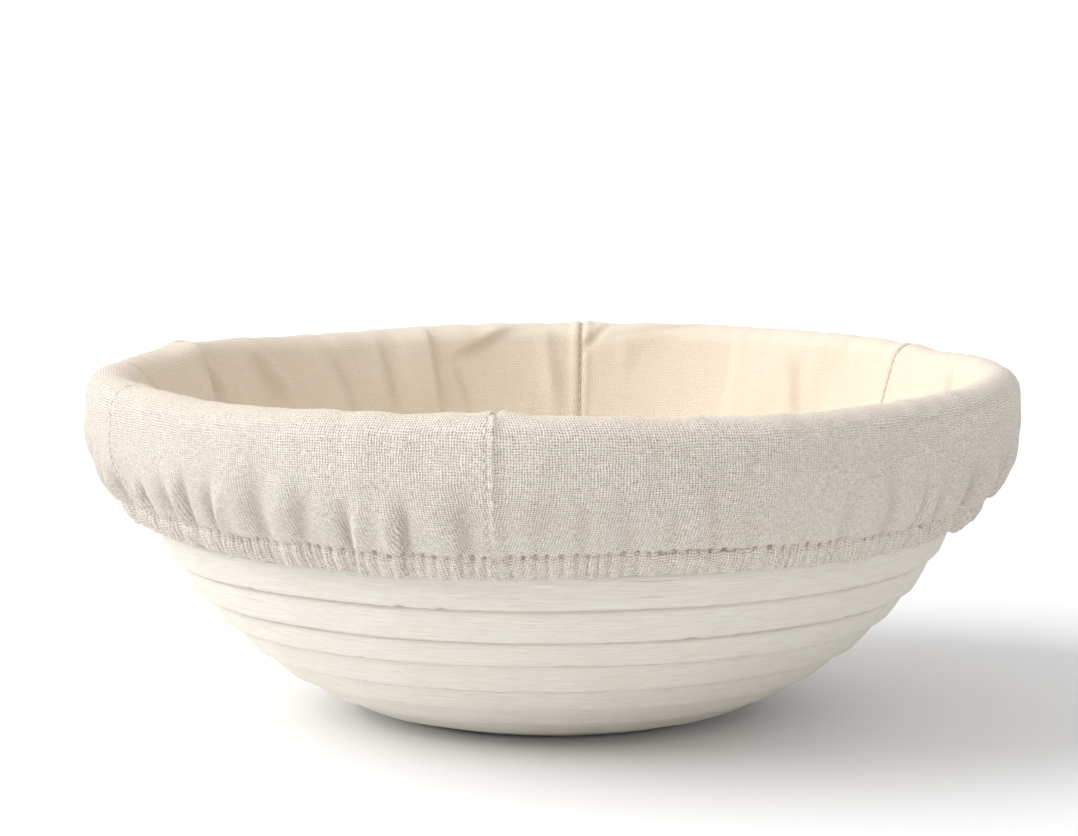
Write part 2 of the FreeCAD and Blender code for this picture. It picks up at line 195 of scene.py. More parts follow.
def grid_faces(rows, columns, closed=False):
    """Quads for a grid of vertices in row order. A closed grid joins its last column to its first."""
    row = np.arange(rows - 1)[:, None] * columns
    column = np.arange(columns if closed else columns - 1)[None, :]
    beside = (column + 1) % columns
    quads = [row + column, row + beside, row + columns + beside, row + columns + column]
    return np.stack(quads, axis=-1).reshape(-1, 4)


def polar(radius, angle, height):
    """Points in space from radius, angle and height arrays."""
    radius, angle, height = np.broadcast_arrays(radius, angle, height)
    return np.stack([radius * np.cos(angle), radius * np.sin(angle), height], axis=-1)


# ---------------------------------------------------------------- the canes


def wall_path():
    """The line of the canes' outer faces, from the middle of the base upwards."""
    line = Path(0.0, 0.0)
    line.run(WALL_LINE["flat"])
    line.arc(WALL_LINE["knee"], WALL_LINE["knee_angle"])
    line.arc(WALL_LINE["bowl"], WALL_LINE["wall_angle"] - WALL_LINE["knee_angle"])
    left = (BASKET_HEIGHT - line.point[1]) / math.sin(line.heading)
    return line.run(left)


WALL = wall_path()
TURN_EDGES = EYE_RADIUS + np.concatenate([[0.0], np.cumsum(TURN_WIDTHS)]) / 1000


def groove(turn):
    """Distance along the wall line of the groove under each turn."""
    eased = turn - CLIMB_EASE * np.sin(2 * math.pi * turn) / (2 * math.pi)
    place = eased - FIRST_TURN
    return np.minimum(np.interp(place, np.arange(len(TURN_EDGES)), TURN_EDGES), WALL.length)


CANE_STEP = 0.0011
CANE_GAP = 0.0001
CANE_SHIFT = 0.00006
CANE_LEAST_WIDTH = 0.0015
# The face's swell across its middle, how deep its upper edge is cut back and its chips go, and how far
# the upper edge runs on behind the next turn.
CANE_BULGE = 0.00026
CANE_RECESS = 0.00055
CHIP_DEPTH = 0.00045
CANE_OVERRUN = 0.00034
CANE_FACE_DEPTH = 0.0006
CANE_HIDDEN_DEPTH = 0.0012
CANE_FACE_POINTS = 13
CANE_BACK_POINTS = 11
CANE_CORNER = 0.0005
CHIP_EVERY = 0.045


def cane_stations(start, end):
    """Turn numbers along a cane, about one step apart."""
    fine = np.linspace(start, end, 4000)
    middle = (groove(fine) + groove(fine + 1)) / 2
    radius = WALL.at(middle)[0]
    steps = np.diff(fine) * 2 * math.pi * (radius[1:] + radius[:-1]) / 2
    length = np.concatenate([[0.0], np.cumsum(steps)])
    count = max(int(length[-1] / CANE_STEP), 24)
    return np.interp(np.linspace(0, length[-1], count), length, fine), np.linspace(0, length[-1], count)


def cane_outline(width, thickness):
    """The half-round section for each station: places across and depths, from edge to edge and back."""
    swing = np.linspace(0.0, math.pi, CANE_BACK_POINTS)[None, 1:-1]
    back_across = 0.5 - 0.5 * np.sign(np.cos(swing)) * np.abs(np.cos(swing)) ** 0.8
    back_depth = np.abs(np.sin(swing)) ** 0.72
    across = np.linspace(0.0, 1.0, CANE_FACE_POINTS)[None, :]
    from_edge = np.minimum(across, 1 - across) * width[:, None]
    rounding = np.clip(1 - from_edge / CANE_CORNER, 0, 1)
    face_depth = CANE_CORNER * (1 - np.sqrt(np.clip(1 - rounding**2, 0, 1)))
    face_across = across * width[:, None]
    back = back_across[:, ::-1] * width[:, None]
    return (
        np.concatenate([face_across, back], axis=1),
        np.concatenate([face_depth, back_depth[:, ::-1] * thickness[:, None]], axis=1),
    )


def chip_field(length, across, seed):
    """Small chips out of a cane's lower edge, 1 at the middle of each."""
    draw = np.random.default_rng(seed)
    total = np.zeros_like(across)
    for _ in range(int(length[-1] / CHIP_EVERY)):
        place = draw.uniform(0, length[-1])
        reach, deep = draw.uniform(0.0005, 0.0018), draw.uniform(0.0003, 0.0009)
        total += bell(length[:, None], place, reach) * bell(across, 0.0, deep)
    return np.clip(total, 0, 1)


def cane_piece(name, start, end, seed):
    """One length of cane with worn edges, a slightly uneven face and a shaved end."""
    turns, length = cane_stations(start, end)
    azimuth = np.radians(FRONT + 360.0 * turns)
    low = groove(turns) + CANE_GAP
    high = np.maximum(groove(turns + 1) - CANE_GAP, low + CANE_LEAST_WIDTH)
    angle = 2 * math.pi * turns
    zero = np.zeros_like(turns)
    slow = wave_noise(angle / 8, zero, (8, 90), 0, seed)
    quick = wave_noise(angle / 8, zero, (200, 1600), 0, seed + 1, 60)
    radius, height, _ = WALL.at(low)
    far_radius, far_height, _ = WALL.at(high)
    width = np.hypot(far_radius - radius, far_height - height)
    ramp = np.clip(((low + high) / 2 - WALL_LINE["flat"]) / WALL_LINE["knee"], 0, 1)
    heading = np.arctan2(far_height - height, far_radius - radius) + ramp * FACE_TILT
    thickness = np.minimum(CANE_THICKNESS * 0.985, width * 0.9)
    across, depth = cane_outline(width, thickness)
    wobble = ramp[:, None] * (0.00010 * slow[:, None] + 0.00004 * quick[:, None])
    low_edge = np.clip(1 - across / (0.25 * width[:, None]), 0, 1) * wobble
    chips = chip_field(length, across, seed + 2) * ramp[:, None]
    share = across / width[:, None]
    crown = CANE_BULGE * (1 - (2 * share - 1) ** 2) - CANE_RECESS * smooth(share, 0.82, 1.0)
    bulge = ramp[:, None] * (depth < CANE_FACE_DEPTH) * crown
    sunk = depth + np.abs(0.00012 * ramp * slow)[:, None] - bulge + CHIP_DEPTH * chips
    under_next = ramp * smooth(WALL.length - high, 0.0005, 0.003)
    overrun = CANE_OVERRUN * under_next[:, None] * smooth(share, 0.88, 1.0)
    across = across + low_edge + CANE_SHIFT + overrun
    r = radius[:, None] + np.cos(heading)[:, None] * across - np.sin(heading)[:, None] * sunk
    z = height[:, None] + np.sin(heading)[:, None] * across + np.cos(heading)[:, None] * sunk
    points = polar(r, azimuth[:, None], z)
    rows, columns = points.shape[:2]
    vertices = points.reshape(-1, 3)
    faces = grid_faces(rows, columns, closed=True)
    u = np.broadcast_to(length[:, None], (rows, columns))
    v = across + seed * 0.05
    uv = np.stack([u, v], axis=-1).reshape(-1, 2)
    caps = []
    for row, order in ((0, 1), (rows - 1, -1)):
        ring = row * columns + np.arange(columns)
        half = columns // 2
        for k in range(half - 1):
            quad = [ring[k], ring[k + 1], ring[columns - 2 - k], ring[columns - 1 - k]]
            caps.append(quad[::order])
    # Painted shade for the cane's colour: a dark line in the groove along each turn's upper edge, a fainter
    # one along its lower edge, and shade on its hidden back. Its chips are darkened too.
    hidden = depth > CANE_HIDDEN_DEPTH
    top_edge = width[:, None] - across
    groove_shade = 0.95 * bell(top_edge, 0.0, 0.0008) + 0.30 * bell(across, 0.0, 0.00022)
    shade = np.clip(np.where(hidden, 0.6, groove_shade + chips), 0, 1).ravel()
    faces = np.concatenate([faces, np.array(caps)])[:, ::-1]
    piece = new_mesh_object(name + "_wound", vertices, faces, uv, shade)
    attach(piece, "basket")
    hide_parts(name)
    return piece


# ---------------------------------------------------------------- the liner


def liner_path():
    """The liner's visible face: base, wall, fold over the rim, skirt, casing, hem and casing's back."""
    line = Path(0.0, LINING_INSET)
    line.run(WALL_LINE["flat"])
    line.arc(WALL_LINE["knee"] - LINING_INSET, WALL_LINE["knee_angle"])
    line.arc(WALL_LINE["bowl"] - LINING_INSET, WALL_LINE["wall_angle"] - WALL_LINE["knee_angle"])
    marks = {"wall": line.length}
    wall = math.radians(WALL_LINE["wall_angle"])
    fold_start = FOLD_TOP - FOLD_RADIUS + FOLD_RADIUS * math.cos(wall)
    line.run((fold_start - line.point[1]) / math.sin(wall))
    marks["fold"] = line.length
    line.arc(FOLD_RADIUS, -WALL_LINE["wall_angle"])
    marks["top"] = line.length
    line.arc(FOLD_RADIUS, -90.0)
    marks["drop"] = line.length
    line.run(SKIRT_DROP)
    line.arc(SKIRT_RADIUS, -SKIRT_ANGLE)
    marks["stitch"] = line.length
    line.kink(CASING_ANGLE - 180)
    line.run(CASING_DEPTH)
    marks["hem"] = line.length
    line.arc(HEM_RADIUS, -180.0)
    marks["inner"] = line.length
    line.run(CASING_DEPTH)
    marks["end"] = line.length
    return line, marks


LINER, MARK = liner_path()
COLUMNS_ROUND = 2160


def liner_rows():
    """Distances along the liner's path for the rows of its mesh, finer where the cloth is gathered."""
    stretches = [
        (0.0005, MARK["wall"], 0.0022),
        (MARK["wall"], MARK["fold"], 0.0011),
        (MARK["fold"], MARK["drop"], 0.00075),
        (MARK["drop"], MARK["stitch"] - 0.004, 0.0006),
        (MARK["stitch"] - 0.004, MARK["hem"], 0.0003),
        (MARK["hem"], MARK["inner"], 0.0004),
        (MARK["inner"], MARK["end"], 0.001),
    ]
    rows = []
    for low, high, step in stretches:
        rows.extend(np.linspace(low, high, max(int(round((high - low) / step)), 2) + 1)[:-1])
    return np.array(rows + [MARK["end"]])


# Gathers above the casing: the gap between them in radians, and the ranges that each is drawn from.
# The side lean hangs them upright as seen from the front, and the calm angle is where they are weakest.
PUCKER_GAP = (0.055, 0.150)
PUCKER_LEAN = 0.09
PUCKER_SIDE_LEAN = 0.35
CALM_ANGLE = -72.0
PUCKER_REACH = (0.016, 0.036)
PUCKER_DEPTH = (0.0008, 0.0020)
PUCKER_WIDTH = (0.0012, 0.0030)
# The casing: how many stitches it has, how far its ribs, swell and stitches stand out or go in, and
# where round the liner its ribs are strongest and its holes are hardest to see.
CASING_STITCHES = 240
RIB_HEIGHT = 0.00078
CASING_SWELL = 0.00030
STITCH_PULL = 0.00035
HOLE_DEPTH = 0.00045
END_TUCK = 0.0007
RIBBED_ANGLE = -125.0
FAINT_HOLE_ANGLE = -140.0
SEAM_STRENGTH = [0.35, 1.0, 0.35, 1.0, 1.0, 1.0]
RIM_REACH = 0.112
# How deep the lining's hollows may go towards the canes, and how softly they are stopped there.
HOLLOW_LIMIT = -0.00015
HOLLOW_EASE = 0.00008
# How far the gore left of the back left seam stands proud of the next one.
BACK_SEAM = SEAMS[5]
BACK_SEAM_STEP = 0.0026
# The needle holes and stitches lie this far beside a seam's lapped edge.
STITCH_BESIDE = 0.0016
# How far the skirt rides up all round, how much more it does at the left, and where that is.
HEM_RISE = 0.0048
LEFT_RISE = 0.0020
LEFT_ANGLE = -152.0
# The thread pulled tight along the casing's stitches: from and to, in degrees, and how far it wanders.
PULLED = (-78.0, -65.0, 0.0005)
SEAM_STITCH = 0.0026

# Folds in the lining: from (degrees, depth below the rim) to (degrees, depth), then how high the fold
# stands, how wide its steep side is and how wide its gentle side. A negative height is a crease.
CREASES = [
    ((109.8, 0.001), (108.8, 0.034), 0.0017, 0.0011, 0.0095),
    ((118.5, 0.004), (117.0, 0.030), 0.0007, 0.0016, 0.0030),
    ((94.0, 0.001), (106.6, 0.012), 0.0016, 0.0014, 0.0085),
    ((106.6, 0.012), (103.5, 0.034), 0.0009, 0.0014, 0.0060),
    ((91.5, 0.002), (89.8, 0.026), 0.0009, 0.0022, 0.0045),
    ((84.6, 0.010), (80.6, 0.001), -0.0012, 0.0009, 0.0014),
    ((83.0, 0.010), (64.0, 0.002), 0.0008, 0.0018, 0.0070),
    ((134.5, 0.021), (141.0, 0.002), 0.0010, 0.0030, 0.0014),
    ((148.0, 0.018), (156.0, 0.002), 0.0010, 0.0030, 0.0014),
    ((128.0, 0.006), (124.0, 0.034), 0.0007, 0.0020, 0.0070),
    ((176.0, 0.001), (167.0, 0.016), -0.0013, 0.0016, 0.0032),
    ((52.0, 0.006), (46.0, 0.040), 0.0006, 0.0022, 0.0080),
    ((12.0, 0.004), (6.0, 0.030), 0.0010, 0.0014, 0.0060),
    ((-12.0, 0.006), (-16.0, 0.034), 0.0009, 0.0014, 0.0060),
    ((-48.0, 0.003), (-52.0, 0.022), 0.0010, 0.0012, 0.0060),
    ((-76.0, 0.005), (-70.0, 0.035), 0.0010, 0.0014, 0.0070),
    ((-118.0, 0.003), (-112.0, 0.028), 0.0012, 0.0012, 0.0060),
    ((-170.0, 0.004), (-164.0, 0.030), 0.0010, 0.0012, 0.0060),
    ((60.0, 0.050), (20.0, 0.075), 0.0009, 0.0020, 0.0100),
    ((140.0, 0.048), (120.0, 0.085), 0.0009, 0.0020, 0.0100),
    ((-60.0, 0.045), (-30.0, 0.080), 0.0009, 0.0020, 0.0100),
    ((-140.0, 0.050), (-120.0, 0.085), 0.0009, 0.0020, 0.0100),
]


def draw_puckers():
    """The gathers round the skirt: angle, lean, reach, depth, half width and side of the ridge."""
    draw = np.random.default_rng(5)
    found = []
    angle = -math.pi
    while angle < math.pi - PUCKER_GAP[0]:
        lean = draw.uniform(-PUCKER_LEAN, PUCKER_LEAN) - PUCKER_SIDE_LEAN * math.cos(angle)
        reach = draw.uniform(*PUCKER_REACH)
        depth = draw.uniform(*PUCKER_DEPTH)
        width = draw.uniform(*PUCKER_WIDTH)
        found.append((angle, lean, reach, depth, width, draw.choice([-1, 1])))
        angle += draw.uniform(*PUCKER_GAP)
    return found


PUCKERS = draw_puckers()


def step_down(value, width):
    """1 where value is well below 0, 0 where it is well above, with a steep fall between."""
    return 1 / (1 + np.exp(np.clip(value / width, -40, 40)))


def pucker_field(a, s):
    """Height of the skirt's gathers: valleys with a rounded ridge beside each, fading upwards."""
    stitch = MARK["stitch"]
    total = 0.0 * (a + s)
    calm_front = smooth(np.abs(angle_gap(a, math.radians(CALM_ANGLE))), 0.25, 0.65)
    for angle, lean, reach, depth, width, side in PUCKERS:
        x = RIM_REACH * angle_gap(a, angle) - lean * (stitch - s)
        rise = smooth(s, stitch - reach, stitch - 0.3 * reach)
        rise = rise * (1 - 0.65 * smooth(s, stitch - 0.003, stitch))
        fan = width * (1.5 - 0.5 * smooth(s, stitch - reach, stitch))
        total += depth * rise * (0.7 * bell(x, side * 1.7 * fan, 1.3 * fan) - bell(x, 0.0, fan))
    return total * (0.30 + 0.70 * calm_front)


def casing_phase(a):
    """The phase of the casing's ribs. Its stitch holes are where it is an odd number of half turns."""
    return CASING_STITCHES * a + 0.9 * wave_noise(a, 0 * a, (9, 60), 0, 61)


def casing_hole(a, s):
    """1 at each stitch hole of the casing and 0 away from them."""
    from_hole = 1 - np.abs(np.sin(casing_phase(a) / 2))
    # How strongly each hole is marked, in its dent and in its painted shade: uneven round the liner and
    # faintest at the front left.
    marked = 0.65 + 0.35 * wave_noise(a, 0 * a, (20, 70), 0, 63)
    marked = marked * (1 - 0.6 * bell(angle_gap(a, math.radians(FAINT_HOLE_ANGLE)), 0.0, 0.5))
    return marked * bell(from_hole, 0.0, 0.12) * bell(s, MARK["stitch"], 0.00050)


def pulled_thread(a, s):
    """1 on the wavy crease where the casing's thread is pulled tight, and 0 away from it."""
    start, end, wander = PULLED
    degrees = np.degrees(a)
    shown = smooth(degrees, start - 1, start + 1) * (1 - smooth(degrees, end - 2, end))
    line = MARK["stitch"] + wander * np.sin(0.9 * (degrees - start)) - 0.0002
    return shown * bell(s, line, 0.00035)


def casing_field(a, s):
    """Height of the casing's ribs, of the pull of its stitches and of the swell over the elastic."""
    strength = 0.75 + 0.25 * wave_noise(a, 0 * a, (8, 40), 0, 62)
    strength = strength + 0.4 * bell(angle_gap(a, math.radians(RIBBED_ANGLE)), 0.0, 0.5)
    rib = np.cos(casing_phase(a) / 2) ** 2
    rib = np.maximum(rib, 1e-9) ** 0.7 - 0.55
    gathered = smooth(s, MARK["stitch"] - 0.0022, MARK["stitch"] + 0.0006)
    gathered = gathered * (1 - 0.75 * smooth(s, MARK["hem"] - 0.0004, MARK["hem"] + 0.0012))
    gathered = gathered * (1 - smooth(s, MARK["inner"] - 0.0006, MARK["inner"]))
    pull = bell(s, MARK["stitch"], 0.0009)
    swell = bell(s, (MARK["stitch"] + MARK["hem"]) / 2, 0.0019)
    tuck = smooth(s, MARK["end"] - 0.0016, MARK["end"])
    ribs = RIB_HEIGHT * strength * rib * gathered
    ribs = ribs - STITCH_PULL * pull + CASING_SWELL * swell
    return ribs - HOLE_DEPTH * casing_hole(a, s) - END_TUCK * tuck


def seam_holes(x, s, number):
    """1 at each needle hole in the row beside a seam's lapped edge."""
    spot = np.abs((s / SEAM_STITCH + 0.3 * number) % 1 - 0.5)
    return bell(x, -STITCH_BESIDE, 0.00028) * bell(spot, 0.0, 0.16)


def seam_field(a, s):
    """Height of the seams: outside, a lapped edge and needle holes; inside, a closed groove."""
    total = 0.0 * (a + s)
    outside = smooth(s, MARK["top"], MARK["top"] + 0.004)
    inside = (1 - outside) * smooth(s, 0.004, 0.02)
    shown = 1 - smooth(s, MARK["hem"], MARK["hem"] + 0.001)
    radius = LINER.at(s)[0]
    for number, seam in enumerate(SEAMS):
        x = radius * angle_gap(a, math.radians(seam))
        lap = 0.00034 * step_down(x - 0.0003, 0.00030) * bell(np.minimum(x, 0), 0.0, 0.007)
        ridge = 0.00034 * bell(x, -0.0001, 0.00050)
        row = 0.00008 * bell(x, -STITCH_BESIDE, 0.00028) + 0.00022 * seam_holes(x, s, number)
        pull = 0.00010 * np.cos(math.pi * s / SEAM_STITCH + seam) * bell(x, 0.0012, 0.0012)
        groove_in = 0.00050 * bell(np.abs(x), 0.0017, 0.0013) - 0.00045 * bell(x, 0.0, 0.00045)
        dip = 0.00030 * bell(x, 0.0030, 0.0026)
        total += SEAM_STRENGTH[number] * outside * (lap + ridge - row + pull - dip) + inside * groove_in
    return shown * total


def crease_places(a, s, start, end):
    """Where a and s lie along a crease and beside it, in metres, and the crease's length."""
    x = RIM_REACH * angle_gap(a, math.radians(start[0]))
    y = MARK["top"] - s - start[1]
    dx = RIM_REACH * math.radians(end[0] - start[0])
    dy = end[1] - start[1]
    length = math.hypot(dx, dy)
    return (x * dx + y * dy) / length, (x * dy - y * dx) / length, length


def crease_field(a, s):
    """Height of the folds pressed into the lining, each steep on one side and gentle on the other."""
    total = 0.0 * (a + s)
    for start, end, height, steep, gentle in CREASES:
        along, beside, length = crease_places(a, s, start, end)
        shown = smooth(along, -0.003, 0.25 * length)
        shown = shown * (1 - smooth(along, 0.7 * length, length + 0.006))
        total += height * shown * bell(beside, 0.0, np.where(beside > 0, gentle, steep))
    return total


def slack_step(a, s):
    """Height of the gore left of the back left seam, which stands proud of its neighbour."""
    x = LINER.at(s)[0] * angle_gap(a, math.radians(BACK_SEAM))
    proud = step_down(-x, 0.0003) * bell(np.maximum(x, 0), 0.0, 0.013)
    deep = smooth(s, MARK["top"] - 0.05, MARK["top"] - 0.02)
    deep = deep * (1 - smooth(s, MARK["fold"], MARK["top"]))
    return BACK_SEAM_STEP * proud * deep


def kept_off(relief, s):
    """The relief with its hollows inside the bowl eased back from the canes behind it."""
    inside = 1 - smooth(s, MARK["fold"], MARK["top"])
    eased = HOLLOW_EASE * np.logaddexp(0, (relief - HOLLOW_LIMIT) / HOLLOW_EASE) + HOLLOW_LIMIT
    return relief + inside * (eased - relief)


def liner_relief(a, s):
    """How far the liner's visible face stands off its even line, with slack, folds and seams."""
    inside = 1 - smooth(s, MARK["fold"], MARK["top"])
    outside = smooth(s, MARK["top"], MARK["drop"])
    held = 1 - 0.7 * smooth(s, MARK["stitch"] - 0.004, MARK["stitch"])
    slack = 0.00045 * wave_noise(a, s, (2, 11), 60, 21)
    slack = slack + 0.00022 * wave_noise(a, s, (10, 34), 110, 22)
    shallow = 0.00018 * wave_noise(a, s, (7, 24), 25, 23)
    fine = 0.00007 * wave_noise(a, s, (40, 110), 160, 24, 30)
    relief = fine + inside * smooth(s, 0.01, 0.05) * slack + outside * held * shallow
    relief += outside * (pucker_field(a, s) + casing_field(a, s))
    relief += inside * crease_field(a, s) + slack_step(a, s)
    relief -= 0.00040 * pulled_thread(a, s)
    return kept_off(relief + seam_field(a, s), s)


# Where the rim of the cloth rides high or low: degrees round, height and half width in degrees.
RIM_WAVES = [
    (-132.0, -0.0007, 14.0),
    (-96.0, 0.0007, 8.0),
    (-62.0, -0.0011, 27.0),
    (23.0, -0.0011, 8.0),
    (68.0, 0.0006, 26.0),
    (125.0, -0.0010, 12.0),
    (154.0, 0.0007, 3.0),
    (168.0, -0.0007, 10.0),
]


def rim_height(a):
    """How far the top of the fold rises and falls round the rim."""
    total = 0.00010 * wave_noise(a, 0 * a, (4, 14), 0, 51)
    total = total + 0.00008 * wave_noise(a, 0 * a, (15, 50), 0, 52)
    for middle, height, width in RIM_WAVES:
        total = total + height * bell(angle_gap(a, math.radians(middle)), 0.0, math.radians(width))
    return total


def hem_lift(a, s):
    """How far the skirt rides up: most at the left, nothing at the rim."""
    left = bell(angle_gap(a, math.radians(LEFT_ANGLE)), 0.0, 0.32)
    uneven = 0.00035 * wave_noise(a, 0 * a, (2, 7), 0, 11)
    uneven = uneven + 0.00012 * wave_noise(a, 0 * a, (20, 90), 0, 12)
    return smooth(s, MARK["drop"] - 0.002, MARK["stitch"]) * (HEM_RISE + LEFT_RISE * left + uneven)


def liner_place(a, s, off=0.0):
    """Radius and height at a distance off the liner's even line, lifted at the hem and rim."""
    radius, height, heading = LINER.at(s)
    lift = hem_lift(a, s)
    rim = (1 - smooth(np.abs(s - MARK["top"]), 0.006, 0.02)) * rim_height(a)
    hug = HEM_HUG * smooth(s, MARK["drop"] - 0.004, MARK["stitch"])
    r = radius - np.sin(heading) * off + 0.52 * lift - hug
    z = height + np.cos(heading) * off + lift + rim
    return r, z


# How much painted shade darkens the cloth in each kind of hollow, on top of the light's own shadows.
HOLE_DARK = 1.5
GATHER_DARK = 0.42
PULLED_DARK = 0.75
RIB_DARK = 0.14
NEEDLE_DARK = 0.6
BESIDE_SEAM_DARK = 0.12
GROOVE_DARK = 0.9
BACK_SEAM_DARK = 0.20
CREASE_DARK = 0.28


def liner_shade(a, s):
    """How much painted shade the liner gets in its needle holes, seams, gathers and folds, from 0 to 1."""
    # Painted shade in the casing's needle holes, the gathers' hollows, the pulled thread's crease and the
    # ribs' valleys.
    hollow = np.clip(-pucker_field(a, s) / 0.0010, 0, 1) * smooth(s, MARK["top"], MARK["drop"])
    shade = HOLE_DARK * casing_hole(a, s) + GATHER_DARK * hollow + PULLED_DARK * pulled_thread(a, s)
    valley = smooth(s, MARK["stitch"] - 0.0012, MARK["stitch"] + 0.0006)
    valley = valley * (1 - smooth(s, MARK["hem"], MARK["inner"]))
    shade = shade + RIB_DARK * valley * bell(1 - np.abs(np.sin(casing_phase(a) / 2)), 0.0, 0.12)
    outside = smooth(s, MARK["top"], MARK["top"] + 0.004)
    radius = LINER.at(s)[0]
    # Painted shade in each seam's needle holes and beside its lapped edge outside, and along its groove
    # inside.
    for number, seam in enumerate(SEAMS):
        x = radius * angle_gap(a, math.radians(seam))
        beside = NEEDLE_DARK * seam_holes(x, s, number) + BESIDE_SEAM_DARK * bell(x, 0.0016, 0.0012)
        shade = shade + SEAM_STRENGTH[number] * outside * beside
        shade = shade + (1 - outside) * GROOVE_DARK * bell(x, 0.0, 0.00055) * smooth(s, 0.002, 0.01)
    # Painted shadow on the gore that the proud gore at the back left seam stands over.
    x = radius * angle_gap(a, math.radians(BACK_SEAM))
    below = (1 - step_down(-x, 0.0003)) * bell(np.minimum(x, 0), 0.0, 0.012)
    shade = shade + BACK_SEAM_DARK * (1 - outside) * below * smooth(s, MARK["top"] - 0.05, MARK["top"] - 0.02)
    # Painted shade along the foot of each fold's steep side, and along each crease.
    for start, end, height, steep, _ in CREASES:
        along, beside, length = crease_places(a, s, start, end)
        shown = smooth(along, 0.0, 0.3 * length) * (1 - smooth(along, 0.6 * length, length))
        crease_foot_shade = bell(beside, -1.3 * steep if height > 0 else 0.0, steep)
        shade = shade + (1 - outside) * CREASE_DARK * shown * crease_foot_shade
    return np.clip(shade, 0, 1)


def gore(number, rows):
    """One gore of the liner, from the middle of the base over the rim to the hem."""
    start = math.radians(SEAMS[number - 1])
    end = math.radians(SEAMS[number] if number < len(SEAMS) else SEAMS[0] + 360)
    count = int(round((end - start) / (2 * math.pi) * COLUMNS_ROUND)) + 1
    angle = np.linspace(start, end, count)[None, :]
    s = rows[:, None]
    r, z = liner_place(angle, s, liner_relief(angle, s))
    points = polar(r, angle, z)
    across = (angle - (start + end) / 2) * np.maximum(LINER.at(s)[0], 0.0)
    uv = np.stack([across, np.broadcast_to(s, across.shape)], axis=-1)
    piece = new_mesh_object(
        f"gore_{number}",
        points.reshape(-1, 3),
        grid_faces(len(rows), count)[:, ::-1],
        uv.reshape(-1, 2),
        liner_shade(angle, s).ravel(),
    )
    skin = piece.modifiers.new("cloth", "SOLIDIFY")
    skin.thickness = CLOTH * 0.9
    skin.offset = -1.0
    skin.use_even_offset = False
    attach(piece, "liner")
    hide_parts(f"lining_panel_{number}", f"skirt_panel_{number}")
    width = (end - start) * max(LINER.at(rows)[0])
    gore_area(end - start)
    return piece


def gore_area(span):
    """The flat area of a gore's cut, taken as the area of the surface that it covers."""
    s = np.linspace(0.0, LINER.length, 2000)
    radius = LINER.at(s)[0]
    return round(float(span * (radius[:-1] * np.diff(s)).sum()), 5)


# ---------------------------------------------------------------- threads and elastic

THREAD = 0.00017
THREAD_SIDES = 6
STITCH_STATIONS = 9


def stitch_mesh(name, a, s):
    """Separate stitches of thread. a and s hold one row for each, from needle hole to needle hole."""
    share = np.linspace(0, 1, a.shape[1])[None, :]
    off = liner_relief(a, s) + 0.00042 * np.sin(math.pi * share) ** 0.6 - 0.00030
    r, z = liner_place(a, s, off)
    centre = polar(r, a, z)
    tangent = np.gradient(centre, axis=1)
    tangent /= np.linalg.norm(tangent, axis=-1, keepdims=True)
    heading = LINER.at(s)[2]
    normal = polar(-np.sin(heading), a, np.cos(heading))
    side = np.cross(tangent, normal)
    side /= np.linalg.norm(side, axis=-1, keepdims=True)
    normal = np.cross(side, tangent)
    girth = THREAD * (1 - 0.85 * np.abs(2 * share - 1) ** 4)
    turn = np.arange(THREAD_SIDES) * 2 * math.pi / THREAD_SIDES
    ring = np.cos(turn)[:, None] * normal[:, :, None, :] + np.sin(turn)[:, None] * side[:, :, None, :]
    points = centre[:, :, None, :] + girth[:, :, None, None] * ring
    stitches, stations = a.shape
    tube = grid_faces(stations, THREAD_SIDES, closed=True)
    cap = np.array([[0, 1, 2, 3], [0, 3, 4, 5]])
    one = np.concatenate([tube, cap, (stations - 1) * THREAD_SIDES + cap[:, ::-1]])
    faces = (np.arange(stitches) * stations * THREAD_SIDES)[:, None, None] + one[None, :, :]
    along = np.broadcast_to((share * SEAM_STITCH)[:, :, None], points.shape[:3])
    round_it = np.broadcast_to(turn / (2 * math.pi) * 0.001, points.shape[:3])
    uv = np.stack([along, round_it], axis=-1).reshape(-1, 2)
    piece = new_mesh_object(name, points.reshape(-1, 3), faces.reshape(-1, 4), uv)
    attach(piece, "liner")
    return piece


def seam_stitches(number):
    """The stitches of one seam: beside its lapped edge outside, and down in its groove inside."""
    share = np.linspace(0.08, 0.92, STITCH_STATIONS)[None, :]
    places = (np.arange(int(MARK["hem"] / SEAM_STITCH)) - 0.3 * (number - 1) + 0.5) * SEAM_STITCH
    places = places[(places > 0.006) & (places < MARK["hem"] - SEAM_STITCH)]
    s = places[:, None] + share * SEAM_STITCH
    beside = -STITCH_BESIDE * smooth(s, MARK["top"] - 0.001, MARK["top"] + 0.004)
    a = math.radians(SEAMS[number - 1]) + beside / LINER.at(s)[0]
    piece = stitch_mesh(f"seam_stitches_{number}", a, s)
    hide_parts(f"lining_thread_{number}", f"skirt_thread_{number}")
    return piece


def hem_stitches():
    """The stitches that close the casing, from hole to hole all the way round."""
    fine = np.linspace(-math.pi, math.pi, 12000)
    half_turns = 2 * np.arange(1 - CASING_STITCHES // 2, CASING_STITCHES // 2) + 1
    holes = np.interp(math.pi * half_turns, casing_phase(fine), fine)
    share = np.linspace(0.06, 0.94, STITCH_STATIONS)[None, :]
    a = holes[:-1, None] + np.diff(holes)[:, None] * share
    s = MARK["stitch"] + 0.00012 * (share - 0.5) + 0 * a
    piece = stitch_mesh("hem_stitches", a, s)
    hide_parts("hem_thread")
    return piece


